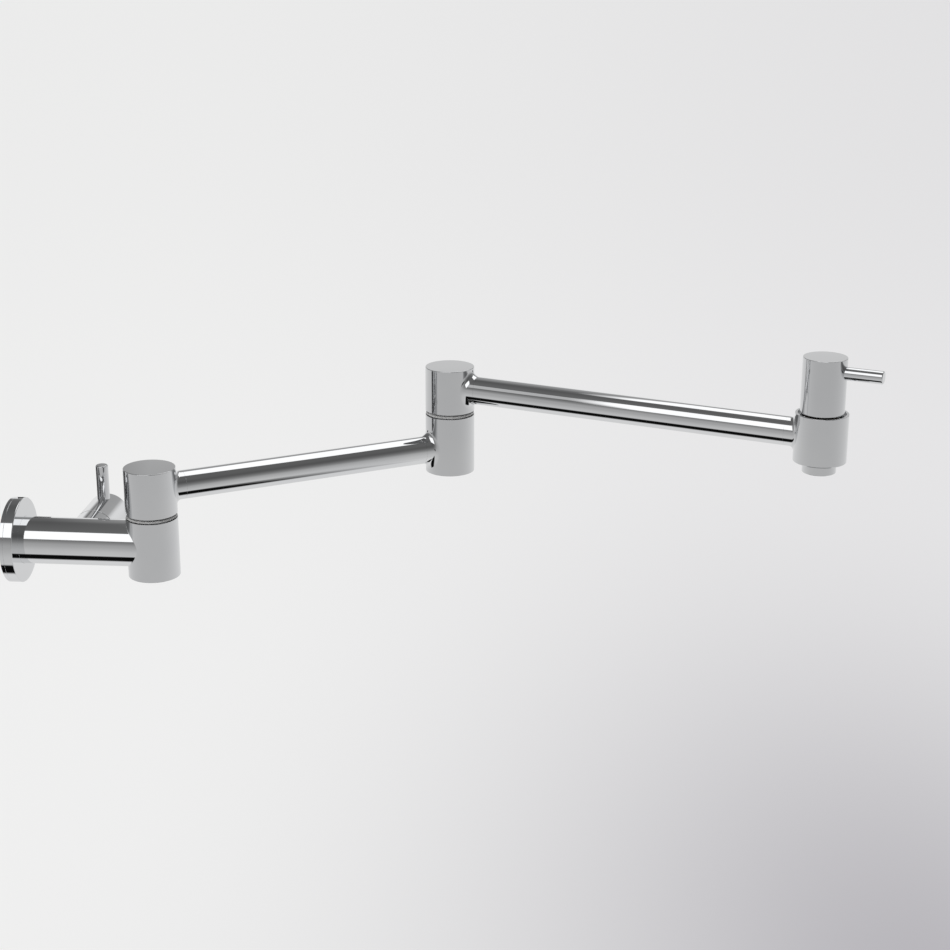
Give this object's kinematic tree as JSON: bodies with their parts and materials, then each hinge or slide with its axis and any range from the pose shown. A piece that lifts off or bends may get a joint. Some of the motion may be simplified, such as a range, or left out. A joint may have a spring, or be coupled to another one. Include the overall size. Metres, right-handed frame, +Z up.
{
  "type": "wall mounted pot filler",
  "caption": "Wall mounted tap with a short body, two swivelling straight arms, a shut-off valve at the wall and a second valve with an aerator at the outlet.",
  "frame": {"origin": "centre of the inlet at the wall plane, on the axis of the body tube", "axes": "+X out from the wall along the body tube, +Z up, +Y to the side of the wall valve"},
  "size_m": [0.5618, 0.1579, 0.1595],
  "materials": {
    "polished_chrome": "mirror-polished chrome plate",
    "brass": "machined, unplated",
    "black_rubber": "smooth moulded seal rubber",
    "ceramic": "lapped alumina ceramic",
    "acetal": "moulded acetal",
    "stainless_steel": "plain stainless steel"
  },
  "bodies": {
    "base": {"wall_gasket": "black_rubber", "wall_plate": "polished_chrome", "escutcheon": "polished_chrome", "inlet_adapter": "brass", "adapter_oring_rear": "black_rubber", "adapter_oring_front": "black_rubber", "body_set_screw": "stainless_steel", "wall_body": "polished_chrome", "wall_cartridge": "brass", "wall_seat_seal": "black_rubber", "wall_fixed_disc": "ceramic", "base_plug": "brass", "base_plug_oring": "black_rubber"},
    "wall_handle_set": {"wall_handle": "polished_chrome", "wall_lever": "polished_chrome", "wall_handle_screw": "stainless_steel", "wall_spindle": "brass", "wall_spindle_oring": "black_rubber", "wall_spindle_clip": "stainless_steel", "wall_moving_disc": "ceramic"},
    "inner_arm": {"shoulder_hub": "polished_chrome", "shoulder_ring": "acetal", "shoulder_spigot": "brass", "shoulder_oring_upper": "black_rubber", "shoulder_oring_lower": "black_rubber", "shoulder_nut": "brass", "arm_tube_inner": "polished_chrome", "elbow_housing": "polished_chrome", "elbow_plug": "brass", "elbow_plug_oring": "black_rubber"},
    "outer_arm": {"elbow_hub": "polished_chrome", "elbow_ring": "acetal", "elbow_spigot": "brass", "elbow_oring_upper": "black_rubber", "elbow_oring_lower": "black_rubber", "elbow_nut": "brass", "arm_tube_outer": "polished_chrome", "outlet_body": "polished_chrome", "outlet_cartridge": "brass", "outlet_seat_seal": "black_rubber", "outlet_fixed_disc": "ceramic", "aerator_shell": "polished_chrome", "aerator_insert": "acetal", "aerator_washer": "black_rubber"},
    "outlet_handle_set": {"outlet_handle": "polished_chrome", "outlet_lever": "polished_chrome", "outlet_handle_screw": "stainless_steel", "outlet_spindle": "brass", "outlet_spindle_oring": "black_rubber", "outlet_spindle_clip": "stainless_steel", "outlet_moving_disc": "ceramic"}
  },
  "joints": [
    {"name": "shoulder_swivel", "type": "hinge", "parent": "base", "child": "inner_arm", "pos_m": [0.0949, 0, 0.0213], "axis": [0, 0, 1], "range_deg": [-121.4, 58.6]},
    {"name": "elbow_swivel", "type": "hinge", "parent": "inner_arm", "child": "outer_arm", "pos_m": [0.27986, 0.1129, 0.0641], "axis": [0, 0, 1], "continuous": true},
    {"name": "wall_valve", "type": "hinge", "parent": "base", "child": "wall_handle_set", "pos_m": [0.049, 0.0217, 0], "axis": [0, 1, 0], "range_deg": [0, 90]},
    {"name": "outlet_valve", "type": "hinge", "parent": "outer_arm", "child": "outlet_handle_set", "pos_m": [0.52542, 0.01815, 0.09505], "axis": [0, 0, 1], "range_deg": [0, 90]}
  ]
}
